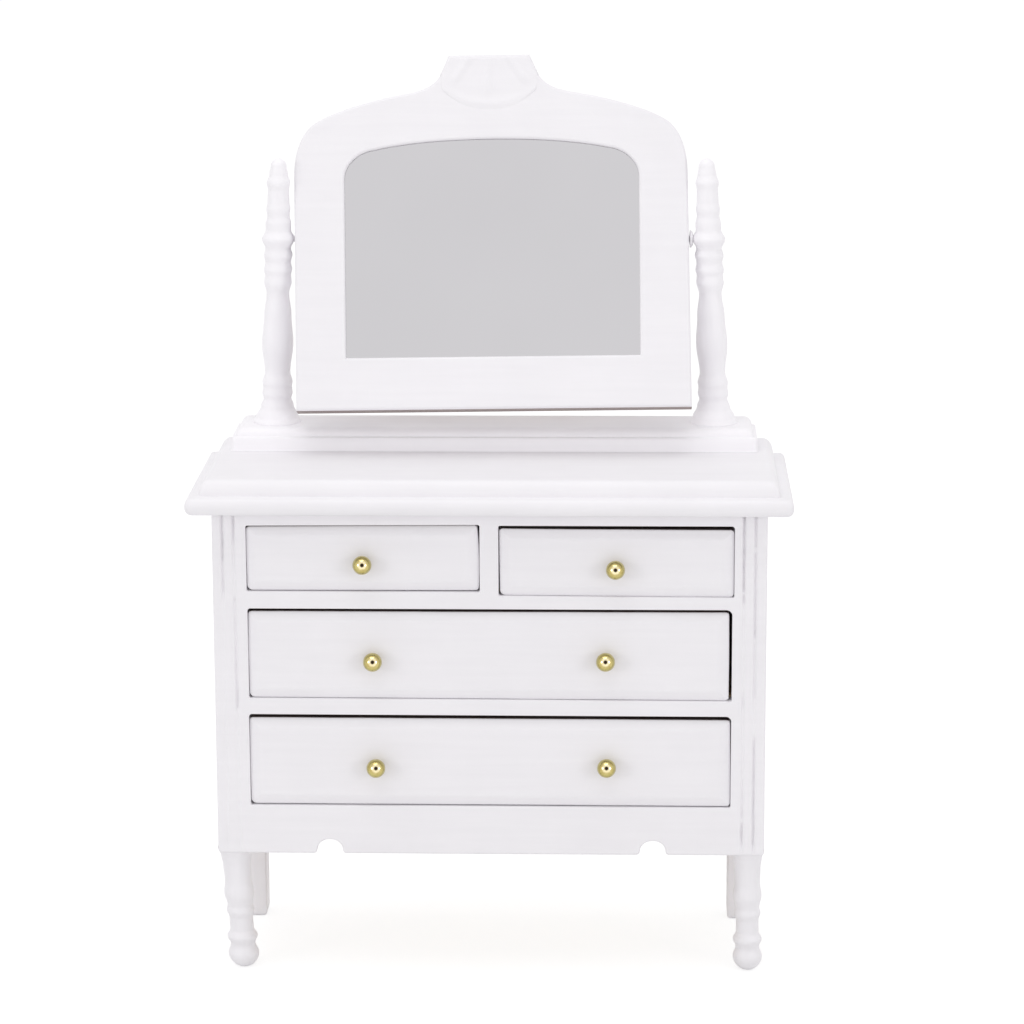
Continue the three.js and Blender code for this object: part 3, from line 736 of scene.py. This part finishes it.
def add_front_leg(side):
    """A turned leg: rings and swells above a ball foot with a small flat under it."""
    low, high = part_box(f"front_leg_{side}")
    at_head, at_foot, girth = LEG_STANCE[side]
    middle = (low.x + high.x) / 2
    head = Vector((middle + at_head * MM, (low.y + high.y) / 2, CASE_LOW))
    foot = Vector((middle + at_foot * MM, head.y, low.z))
    turns = smooth_turning([
        (2.5, 2.66), (4.2, 2.13), (5.6, 2.62), (6.9, 2.06), (9.0, 2.03), (10.3, 2.39), (11.3, 2.2),
        (13.4, 2.6), (15.8, 2.33), (18.6, 2.43), (20.3, 2.66), (21.72, 3.12),
    ])
    ball = []
    for height in (0.0, 0.03, 0.1, 0.25, 0.45, 0.7, 1.05, 1.5, 2.0):
        ball.append((MM * 2.66 * math.sqrt(1 - ((2.5 - height) / 2.53) ** 2), MM * height))
    profile = [(radius * girth, height) for radius, height in ball + turns]
    piece = turned(f"front_leg_{side}_look", profile, PAINT[2], foot, head)
    stand_in(piece, "case", "white_paint", f"front_leg_{side}")


def add_rear_post(side):
    """A square post whose foot is rounded over; the left one's leg is planed a little narrower."""
    low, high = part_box(f"rear_post_{side}")
    planed = 0.45 * MM if side == "left" else 0.0
    shoulder = span("back_panel", 2)[0]
    layers = []
    for inset, rise in ((0.9, 0.0), (0.45, 0.08), (0.2, 0.25), (0.06, 0.5), (0.0, 0.9)):
        layers.append((inset * MM, planed, low.z + rise * MM))
    layers += [(0.0, planed, shoulder - 0.4 * MM), (0.0, 0.0, shoulder), (0.0, 0.0, high.z)]
    rings = []
    for inset, less, height in layers:
        corners = rectangle(low.x + inset, high.x - inset - less, low.y + inset, high.y - inset)
        loop = rounded_loop(corners, 0.3 * MM, steps=3)
        rings.append([Vector((*point, height)) for point in loop])
    # Brightened paint: painted light on the rear legs, which stand in the case's shade.
    piece = stacked(f"rear_post_{side}_look", rings, BRIGHTENED_PAINT[2])
    sharpen(piece, 50)
    stand_in(piece, "case", "white_paint", f"rear_post_{side}")


# ------------------------------------------------------------------ drawers and knobs

# How each front sits in its opening, as gaps in millimetres: left and right (at the foot, halfway,
# at the top), then below and above (at the left, halfway, at the right).
FITS = {
    "top_left": ((0.08, 0.03, 0.07), (0.12, 0.07, 0.36), (0.1, 0.13, 0.2), (0.2, 0.13, 0.1)),
    "top_right": ((0.24, 0.17, 0.12), (0.05, 0.03, 0.08), (0.01, 0.01, 0.01), (0.56, 0.66, 0.70)),
    "middle": ((0.06, 0.03, 0.08), (0.50, 0.48, 0.52), (0.06, 0.05, 0.02), (0.54, 0.54, 0.5)),
    "bottom": ((0.06, 0.03, 0.06), (0.05, 0.09, 0.16), (0.17, 0.17, 0.16), (0.66, 0.68, 0.71)),
}

# How round the corners of the fronts are worn, in millimetres, from the lower left round to the
# upper left.
CORNERS = (0.95, 0.6, 0.6, 0.6)


def drawer_edge(level):
    """The corners of a drawer's front and the middles of its sides, inside the opening's."""
    (bl, br, tr, tl), fits = opening_corners(level), FITS[level]
    left, right, low, high = [[gap * MM for gap in gaps] for gaps in fits]
    sides = ((bl, br), (br, tr), (tr, tl), (tl, bl))
    middle = [((a[0] + b[0]) / 2, (a[1] + b[1]) / 2) for a, b in sides]
    corners = [
        (bl[0] + left[0], bl[1] + low[0]), (br[0] - right[0], br[1] + low[2]),
        (tr[0] - right[2], tr[1] - high[2]), (tl[0] + left[2], tl[1] - high[0]),
    ]
    halfway = [
        (middle[0][0], middle[0][1] + low[1]), (middle[1][0] - right[1], middle[1][1]),
        (middle[2][0], middle[2][1] - high[1]), (middle[3][0] + left[1], middle[3][1]),
    ]
    return corners, halfway


def drawer_ring(level, inset, along=12):
    """The front's outline moved inwards: rounded corners, with sides that bow to their middles and
    are divided in so many lengths."""
    corners, halfway = drawer_edge(level)
    moved = offset_loop(corners, inset)
    radii = [max(corner - inset / MM, 0.12) * MM for corner in CORNERS]
    ring = []
    for i, corner in enumerate(moved):
        radius, next_radius = radii[i], radii[(i + 1) % 4]
        ahead = moved[(i + 1) % 4]
        side = Vector(corners[(i + 1) % 4]) - Vector(corners[i])
        bow = Vector(halfway[i]) - (Vector(corners[i]) + Vector(corners[(i + 1) % 4])) / 2
        bow -= side * bow.dot(side) / side.length_squared
        here, back = Vector(corner), Vector(moved[i - 1])
        to_back, to_ahead = (back - here).normalized(), (Vector(ahead) - here).normalized()
        ring += corner_arc(here, to_back, to_ahead, radius)
        start = here + radius * to_ahead
        end = Vector(ahead) - next_radius * to_ahead
        for k in range(1, along):
            share = k / along
            ring.append(start.lerp(end, share) + bow * math.sin(math.pi * share))
    return [(point.x, point.y) for point in ring]


# A knob's own measures, in millimetres: the radius of its ball and of its neck, and how far it
# stands proud. Then how far each knob stands off its place, to the right, and up.
KNOB_BALL, KNOB_NECK, KNOB_PROUD = 1.62, 0.64, 3.6
KNOB_SHIFTS = {
    "knob_top_left": (-0.09, 0.16),
    "knob_top_right": (-0.07, -0.54),
    "knob_middle_left": (-0.49, -0.18),
    "knob_middle_right": (0.23, 0.0),
    "knob_bottom_left": (-0.14, -0.12),
    "knob_bottom_right": (0.43, 0.1),
}


def add_drawer_front(level):
    """A front with softly rounded edges, a sloping border and a flat field."""
    front, rear = span(f"drawer_{level}_front", 1)
    uneven = 0.03 * MM
    profile = (
        (0.0, 0.8), (0.015, 0.7), (0.06, 0.61), (0.13, 0.56), (0.24, 0.52),
        (1.3, 0.14), (1.5, 0.07), (1.72, 0.03), (2.0, 0.0),
    )
    rings = [[Vector((x, rear, z)) for x, z in drawer_ring(level, 0.0)]]
    for inset, depth in profile:
        ring = []
        for x, z in drawer_ring(level, inset * MM):
            wave = uneven * noise.noise_vector(Vector((x, 0.0, z)) * 150.0)
            ring.append(Vector((x + wave.x, front + depth * MM, z + wave.z)))
        rings.append(ring)
    piece = stacked(f"drawer_{level}_front_look", rings, PAINT[0])
    edge = front + 0.7 * MM
    # The upward faces of the front's top edge, in the gap under the rail, take the painted gap
    # shade.
    bare_or_shaded_where(piece, GAP_SHADE, lambda face: face.center.y > edge and face.normal.z > 0.7)
    sharpen(piece, 40)
    flatten_shading(piece)
    stand_in(piece, f"drawer_{level}", "white_paint", f"drawer_{level}_front")


def knob_profile():
    """(radius, height) points of a knob: a shank, a thin collar, a short neck and a ball."""
    centre = KNOB_PROUD - KNOB_BALL
    points = [
        (0.43, -1.0), (0.43, 0.0), (1.02, 0.0), (1.1, 0.08), (1.1, 0.22), (1.0, 0.34), (0.74, 0.42),
        (KNOB_NECK, 0.5),
    ]
    start = -math.acos(KNOB_NECK / KNOB_BALL)
    for i in range(29):
        angle = start + (math.pi / 2 - 0.02 - start) * i / 28
        points.append((KNOB_BALL * math.cos(angle), centre + KNOB_BALL * math.sin(angle)))
    return [(r * MM, h * MM) for r, h in points]


def add_knob(node, body):
    """A brass knob, turned about an axis that points forward from the drawer's face."""
    low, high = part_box(node)
    right, up = KNOB_SHIFTS[node]
    x, z = (low.x + high.x) / 2 + right * MM, (low.z + high.z) / 2 + up * MM
    root = Vector((x, low.y + KNOB_PROUD * MM, z))
    turn = Matrix.Rotation(math.pi / 2, 3, "X")
    piece = turned(f"{node}_look", knob_profile(), BRASS, root, turn=turn, segments=56)
    stand_in(piece, body, "brass", node)


def add_drawers():
    """Each drawer's front and knobs, and the bare boards of its box."""
    for level in ("top_left", "top_right", "middle", "bottom"):
        body = f"drawer_{level}"
        add_drawer_front(level)
        for part, along in (("side_left", 1), ("side_right", 1), ("back", 0), ("bottom", 0)):
            soften(f"{body}_{part}", WOOD[along], width=0.1 * MM, segments=2)
        for node in frame["nodes"]:
            if node.startswith("knob_") and frame["nodes"][node]["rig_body"] == body:
                add_knob(node, body)


# ------------------------------------------------------------------ mirror

# The mirror's own measures, in millimetres from its pivot, along its plane: half its width, the
# heights of its foot, its arch and its crest, then its thickness, the lip in front of the glass
# and the width of the rabbet behind that lip.
HALF_WIDTH, FOOT, ARCH = 34.05, -29.88, 25.2
CREST = ARCH + 6.7
THICK, LIP, RABBET = 4.5, 0.75, 1.8


def mirror_point(x, depth, height):
    """From the mirror frame's own plane to the row frame, with the mirror at rest."""
    hang = Matrix.Rotation(-HANG_TURN, 3, "Y")
    turn = Matrix.Rotation(-REST_TILT, 3, "X")
    flat = Vector((x - RACK * height, depth, height)) * MM
    return PIVOT + turn @ (hang @ flat + Vector((HANG_SHIFT * MM, 0, 0)))


def bezier(start, leave, arrive, end, steps):
    """Points of a curve from its start to short of its end, with its handles measured from them."""
    handles = [(start[k] + leave[k], end[k] + arrive[k]) for k in (0, 1)]
    points = []
    for i in range(steps):
        t = i / steps
        a, b, c, d = (1 - t) ** 3, 3 * t * (1 - t) ** 2, 3 * t * t * (1 - t), t ** 3
        points.append(tuple(
            a * start[k] + b * handles[k][0] + c * handles[k][1] + d * end[k] for k in (0, 1)))
    return points


def straight(start, end, steps):
    """Points of a straight line from its start to short of its end."""
    return [tuple(start[k] + (end[k] - start[k]) * i / steps for k in (0, 1)) for i in range(steps)]


def both_halves(right):
    """A closed loop from its right half, which runs from the middle of the bottom to the middle of
    the top."""
    left = [(-x, y) for x, y in reversed(right[1:-1])]
    return right + left


def outer_loop():
    """The frame's outline: half of it, bottom to top, then mirrored."""
    corner, shoulder = (HALF_WIDTH, FOOT), (HALF_WIDTH, ARCH - 14.3)
    turn = (HALF_WIDTH - 3.2, shoulder[1] + 9.05)
    sweep, neck, tip, top = (14.75, ARCH), (8.7, ARCH + 2.9), (7.0, CREST), (0, CREST)
    right = straight((0, FOOT), corner, 12) + straight(corner, shoulder, 14)
    right += bezier(shoulder, (0, 4.6), (1.9, -1.6), turn, 14)
    right += bezier(turn, (-3.1, 2.3), (5.25, -0.85), sweep, 14)
    right += bezier(sweep, (-2.75, 0.45), (1.2, -1.7), neck, 8)
    right += straight(neck, tip, 4) + straight(tip, top, 10) + [top]
    return both_halves(right)


def window_loop(grow):
    """The window's outline, grown by some millimetres, with as many points as the outer loop. Its
    right side splays out towards the top."""
    stile, bottom_rail, top_rail, splay = 8.7, 9.1, 8.0, 0.35
    half, low, high = HALF_WIDTH - stile + grow, FOOT + bottom_rail - grow, ARCH - top_rail + grow
    spring, corner = high - 1.75, 5 + grow
    side, turn, top = (half, spring - corner), (half - corner, spring), (0, high)
    right = straight((0, low), (half, low), 12) + straight((half, low), side, 14)
    right += bezier(side, (0, corner / 2), (corner / 2, -0.3), turn, 14)
    bend = ((half - corner) / 2 * 1.22, high)
    for i in range(36):
        t = i / 36
        a, b, c = (1 - t) ** 2, 2 * t * (1 - t), t * t
        right.append(tuple(a * turn[k] + b * bend[k] + c * top[k] for k in (0, 1)))
    loop = both_halves(right + [top])
    return [(x + splay * (y - low) / (high - low) if x > 0 else x, y) for x, y in loop]


def add_mirror_frame():
    """A ring-shaped board: soft outer edges, a rounded window edge and a rabbet behind for the
    glass. Its underside is bare wood in a darkened colour, which also paints the shade there."""
    front, back = -THICK / 2, THICK / 2
    outer, window, seat = outer_loop(), window_loop(0.0), window_loop(RABBET)
    layers = [(offset_loop(outer, 0.2), back), (outer, back - 0.2)]
    layers += eased_layers(outer, 1, front, 0.55, steps=6)
    layers += reversed(eased_layers(window, -1, front, 0.45, steps=6))
    layers += [(window, front + LIP), (seat, front + LIP), (seat, back - 0.1)]
    vertices = [mirror_point(x, depth, height) for loop, depth in layers for x, height in loop]
    count = len(outer)
    faces = ring_faces(len(layers), count)
    last = (len(layers) - 1) * count
    faces += [(last + i, last + (i + 1) % count, (i + 1) % count, i) for i in range(count)]
    piece = mesh_piece("mirror_frame_look", vertices, faces, PAINT[0])
    down = (mirror_point(0, 0, -1) - mirror_point(0, 0, 0)).normalized()
    outside = mirror_point(0, 0, FOOT + 1)
    # The underside takes the darkened bare wood: painted shade as well as bare edge.
    bare_or_shaded_where(piece, BARE_AND_SHADED_EDGE, lambda face: (
        face.normal.dot(down) > 0.98 and (face.center - outside).dot(down) > 0))
    sharpen(piece, 32)
    flatten_shading(piece)
    stand_in(piece, "mirror", "white_paint", "mirror_frame")


def add_pane(name, front, back, material, slot, node):
    """A pane cut to the frame's rabbet."""
    loop = window_loop(RABBET - 0.2)
    rings = []
    for inset, depth in ((0.1, front), (0.0, front + 0.1), (0.0, back - 0.1), (0.1, back)):
        rings.append([mirror_point(x, depth, height) for x, height in offset_loop(loop, inset)])
    piece = stacked(name, rings, material)
    sharpen(piece, 20)
    flatten_shading(piece)
    stand_in(piece, "mirror", slot, node)


def add_panes():
    """The glass behind the lip, and the backing board behind the glass."""
    front = -THICK / 2 + LIP + 0.1
    add_pane("mirror_glass_look", front, front + 0.95, GLASS, "mirror", "mirror_glass")
    back = THICK / 2 - 0.12
    add_pane("mirror_backing_look", front + 1.15, back, CARD, "bare_wood", "mirror_backing")


def soft_step(value, width):
    """1 well below zero and 0 well above it."""
    return 1 / (1 + math.exp(value / width))


def carving_relief(x, drop):
    """Height of the crest's carving above the frame's face, from x and the drop below the crest's
    top, all in millimetres: ribs that spread from a point above the crest to a rounded border."""
    apex, border = 4.4, 13.1
    reach = math.hypot(x, drop + apex)
    angle = math.atan2(x, drop + apex)
    ribs = 0.0
    for rib, width in ((0.0, 0.7), (-0.6, 0.65), (0.6, 0.65)):
        ribs += math.exp(-((angle - rib) * reach / width) ** 2)
    ribs *= soft_step(reach - border + 2.2, 0.35)
    scallops = 0.5 + 0.5 * math.cos(angle / 0.105)
    inside = soft_step(reach - border + 0.9, 0.25)
    rim = math.exp(-((reach - border + 0.1) / 0.7) ** 2)
    beyond = soft_step(reach - border - 0.6, 0.2)
    return 0.03 * beyond + inside * (0.22 * ribs + 0.04 * scallops) + 0.13 * rim


def add_crest_carving():
    """A thin shell over the crest, wider and round below, whose edge dips into the frame's face."""
    columns, rows, sunk = 120, 80, 0.1
    vertices, faces = [], []
    for r in range(rows + 1):
        v = r / rows
        half = 6.7 + 1.7 * min(v / 0.5, 1.0) ** 1.3
        for c in range(columns + 1):
            u = 2 * c / columns - 1
            drop = 0.5 + v * 9.35 * (1 - 0.42 * abs(u) ** 2.4)
            edge = max(min(1.0, (1 - abs(u)) / 0.06, (1 - v) / 0.05, v / 0.02), 0.0)
            height = (carving_relief(u * half, drop) + sunk) * edge ** 0.5 - sunk
            vertices.append(mirror_point(u * half, -THICK / 2 - height, CREST - drop))
    for r in range(rows):
        for c in range(columns):
            a = r * (columns + 1) + c
            faces.append((a, a + 1, a + columns + 2, a + columns + 1))
    piece = mesh_piece("crest_carving_look", vertices, faces, PAINT[0])
    solid = piece.modifiers.new("body", "SOLIDIFY")
    solid.thickness = 0.25 * MM
    stand_in(piece, "mirror", "white_paint", "crest_shell")


# ------------------------------------------------------------------ mirror posts and pins

# Where each post's bead stands, in millimetres inwards of straight above its foot.
POST_LEAN = {"left": 0.75, "right": 1.14}


def post_profile(bead):
    """Outline of a mirror post whose pivot bead is so many millimetres above its foot."""
    cap, tip = bead + 12.6, 1.4
    turns = smooth_turning([
        (-0.05, 4.2), (1.1, 3.63), (2.8, 2.87), (4.2, 2.46), (5.1, 2.67), (6.2, 2.54), (7.0, 2.65),
        (8.8, 2.23), (bead * 0.43, 2.74), (bead - 13.3, 2.38), (bead - 9.5, 1.97),
        (bead - 7.6, 2.39), (bead - 6.3, 2.28), (bead - 5.4, 2.47), (bead - 4.1, 2.24),
        (bead - 2.8, 2.5), (bead - 1.7, 2.22), (bead, 2.86), (bead + 1.6, 2.2), (bead + 2.8, 2.21),
        (bead + 4.0, 1.93), (bead + 5.2, 2.07), (bead + 6.5, 1.89), (bead + 8.5, 1.82),
        (bead + 9.8, 2.02), (bead + 11.3, 1.61), (cap, tip),
    ])
    for i in range(1, 9):
        angle = 0.5 * math.pi * i / 9
        turns.append((MM * tip * math.cos(angle), MM * (cap + tip * math.sin(angle))))
    return turns


def add_posts():
    """The turned posts that carry the mirror, which lean inwards a little."""
    base = PLINTH_Z[1]
    profile = post_profile((PIVOT.z - base) / MM)
    for side, sign in SIDES:
        low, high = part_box(f"mirror_post_{side}")
        outermost = high.x if sign > 0 else low.x
        foot = Vector((outermost - sign * 4.07 * MM, (low.y + high.y) / 2, base))
        head = Vector((foot.x - sign * POST_LEAN[side] * MM, foot.y, PIVOT.z))
        # Brightened paint: painted light on the posts.
        piece = turned(f"mirror_post_{side}_look", profile, BRIGHTENED_PAINT[2], foot, head)
        stand_in(piece, "case", "white_paint", f"mirror_post_{side}")


def add_pins():
    """Painted pegs between frame and posts, with the paint run up against the bead."""
    profile = [
        (0.4, 0.0), (0.5, 0.1), (0.5, 2.3), (1.5, 2.4), (1.55, 2.5), (1.4, 2.72), (1.15, 2.86),
        (0.9, 2.92), (0.55, 2.95), (0.5, 3.0), (0.5, 4.8), (0.4, 4.9),
    ]
    points = [(r * MM, h * MM) for r, h in profile]
    for side, sign in SIDES:
        turn = Matrix.Rotation(sign * math.pi / 2, 3, "Y")
        root = Vector((sign * (HALF_WIDTH - 2.6) * MM, PIVOT.y, PIVOT.z))
        piece = turned(f"pivot_pin_{side}_look", points, PAINT[2], root, turn=turn, segments=40)
        sharpen(piece, 60)
        stand_in(piece, "mirror", "white_paint", f"pivot_pin_{side}")


# ------------------------------------------------------------------ studio

def add_camera():
    """A long lens a little right of the middle, looking down at the front."""
    yaw, pitch, roll = (math.radians(a) for a in (-1.88, 13.04, -0.25))
    place = Vector((0.02333, TOP_Y[0] - 0.58981, 0.21964))
    ahead = math.cos(pitch)
    forward = Vector((math.sin(yaw) * ahead, math.cos(yaw) * ahead, -math.sin(pitch)))
    level = Vector((math.cos(yaw), -math.sin(yaw), 0.0))
    upright = level.cross(forward)
    right = level * math.cos(roll) + upright * math.sin(roll)
    up = upright * math.cos(roll) - level * math.sin(roll)
    data = bpy.data.cameras.new("camera")
    data.lens, data.sensor_width = 127.72, 36.0
    data.clip_start, data.clip_end = 0.01, 20.0
    camera = bpy.data.objects.new("camera", data)
    turn = Matrix((right, up, -forward)).transposed().to_4x4()
    camera.matrix_world = Matrix.Translation(place) @ turn
    bpy.context.scene.collection.objects.link(camera)
    bpy.context.scene.camera = camera


def add_floor():
    """White paper: to the camera it glows nearly white by itself, so shadows on it stay faint."""
    n = Nodes(bpy.data.materials.new("floor"))
    grain = n.noise((30.0, 30.0, 30.0), detail=2.0)
    lit = n.add("ShaderNodeBsdfDiffuse")
    shade = n.mix(n.remap(grain, (0.3, 0.7), (0.0, 1.0)), (0.36, 0.36, 0.36), (0.35, 0.35, 0.35))
    n.link(shade, lit.inputs["Color"])
    glow = n.add("ShaderNodeEmission", {"Strength": 0.76})
    both = n.add("ShaderNodeAddShader")
    n.link(lit.outputs[0], both.inputs[0])
    n.link(glow.outputs[0], both.inputs[1])
    plain = n.add("ShaderNodeBsdfDiffuse", {"Color": (0.85, 0.85, 0.85, 1.0)})
    n.background(plain, both)
    reach = 6.0
    corners = [(x, y, 0) for x, y in rectangle(-reach, reach, -reach, reach)]
    floor = mesh_piece("floor", corners, [(0, 1, 2, 3)], n.owner)


def add_world():
    """Even soft light all round; the camera and reflections see plain white."""
    n = Nodes(bpy.data.worlds.new("studio"), "ShaderNodeOutputWorld")
    soft = n.add("ShaderNodeBackground", {"Color": (1.0, 0.995, 1.0, 1.0), "Strength": 0.74})
    white = n.add("ShaderNodeBackground", {"Color": (1.0, 1.0, 1.0, 1.0), "Strength": 1.0})
    n.background(soft, white)
    bpy.context.scene.world = n.owner


def add_lamp(name, place, aim, size, power):
    """A round lamp of a diameter in metres and a power in watts, aimed at a point."""
    data = bpy.data.lights.new(name, "AREA")
    data.shape = "DISK"
    data.size = size
    data.energy = power
    lamp = bpy.data.objects.new(name, data)
    lamp.location = place
    lamp.rotation_euler = (Vector(aim) - Vector(place)).to_track_quat("-Z", "Y").to_euler()
    bpy.context.scene.collection.objects.link(lamp)


def add_lights():
    """Two lamps low at the front corners and a broad one above, so that no side is in shade."""
    middle = (0, 0, 0.08)
    for side, sign in SIDES:
        add_lamp(f"front_{side}", (sign * 0.78, -0.70, 0.26), middle, size=0.36, power=1.25)
    add_lamp("overhead", (-0.1, -0.15, 1.1), middle, size=0.9, power=2.8)


add_camera()
add_floor()
add_world()
add_lights()
add_top()
add_plinth()
add_face_frame()
add_blocks_behind()
for case_side, _ in SIDES:
    add_front_leg(case_side)
    add_rear_post(case_side)
finish_case_boards()
add_drawers()
add_posts()
add_mirror_frame()
add_panes()
add_crest_carving()
add_pins()

bpy.context.scene.view_settings.view_transform = "Standard"
